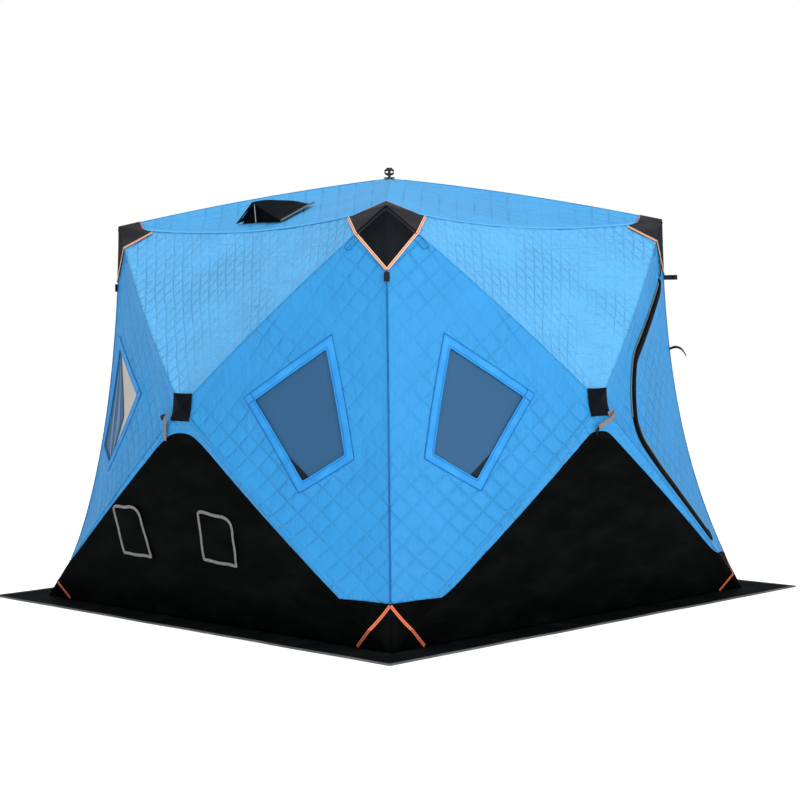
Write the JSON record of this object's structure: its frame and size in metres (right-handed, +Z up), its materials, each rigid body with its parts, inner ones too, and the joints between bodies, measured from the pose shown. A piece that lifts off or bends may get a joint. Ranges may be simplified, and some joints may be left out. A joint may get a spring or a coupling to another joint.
{
  "type": "pop-up ice fishing shelter",
  "caption": "Square insulated pop-up ice fishing tent on sprung hub poles, with quilted walls, windows, a zipped fabric door, vents and a snow skirt.",
  "frame": {"origin": "on the ground under the roof hub, at the centre of the shelter's base", "axes": "+Z up; -Y out through the front wall with the two low air vents; +X out through the right wall with the zipped door"},
  "size_m": [2.84, 2.84, 2.1264],
  "materials": {
    "blue_quilted_fabric": "quilted woven polyester, satin",
    "blue_roof_fabric": "quilted woven polyester, satin",
    "black_fabric": "coated black polyester",
    "skirt_fabric": "coated black polyester with a bound edge",
    "black_patch": "heavy black patch cloth",
    "grey_webbing": "grey woven webbing",
    "black_webbing": "black woven webbing",
    "window_film": "clear film over a slate blue blind",
    "fibreglass_pole": "pultruded glass fibre",
    "black_plastic": "moulded nylon"
  },
  "bodies": {
    "shelter": {"front_wall_top": "blue_quilted_fabric", "right_wall_top": "blue_quilted_fabric", "back_wall_top": "blue_quilted_fabric", "left_wall_top": "blue_quilted_fabric", "front_wall_left_side": "blue_quilted_fabric", "front_wall_right_side": "blue_quilted_fabric", "right_wall_left_side": "blue_quilted_fabric", "right_wall_right_side": "blue_quilted_fabric", "back_wall_left_side": "blue_quilted_fabric", "back_wall_right_side": "blue_quilted_fabric", "left_wall_left_side": "blue_quilted_fabric", "left_wall_right_side": "blue_quilted_fabric", "front_wall_base": "black_fabric", "right_wall_base": "black_fabric", "back_wall_base": "black_fabric", "left_wall_base": "black_fabric", "front_pole_sleeve": "blue_quilted_fabric", "right_pole_sleeve": "blue_quilted_fabric", "back_pole_sleeve": "blue_quilted_fabric", "left_pole_sleeve": "blue_quilted_fabric", "front_roof": "blue_roof_fabric", "right_roof": "blue_roof_fabric", "back_roof": "blue_roof_fabric", "left_roof": "blue_roof_fabric", "front_wall_poles": "fibreglass_pole", "right_wall_poles": "fibreglass_pole", "back_wall_poles": "fibreglass_pole", "left_wall_poles": "fibreglass_pole", "roof_poles": "fibreglass_pole", "wall_hubs": "black_plastic", "roof_hub": "black_plastic", "top_corner_joints": "black_plastic", "foot_joints": "black_plastic", "corner_caps": "black_patch", "corner_feet": "black_fabric", "snow_skirt": "skirt_fabric", "window_panes": "window_film", "roof_vent_hood": "black_patch", "front_air_vents": "grey_webbing", "hub_patches": "black_patch", "hub_pull_straps": "grey_webbing", "guy_loops": "black_webbing"},
    "door": {"door_panel": "blue_quilted_fabric", "door_zip_flap": "black_patch"}
  },
  "joints": [
    {"name": "door_hinge", "type": "hinge", "parent": "shelter", "child": "door", "pos_m": [1.07744, 0.93802, 0.9336], "axis": [-0.1362, -0.0717, 0.9881], "range_deg": [0, 100]}
  ]
}
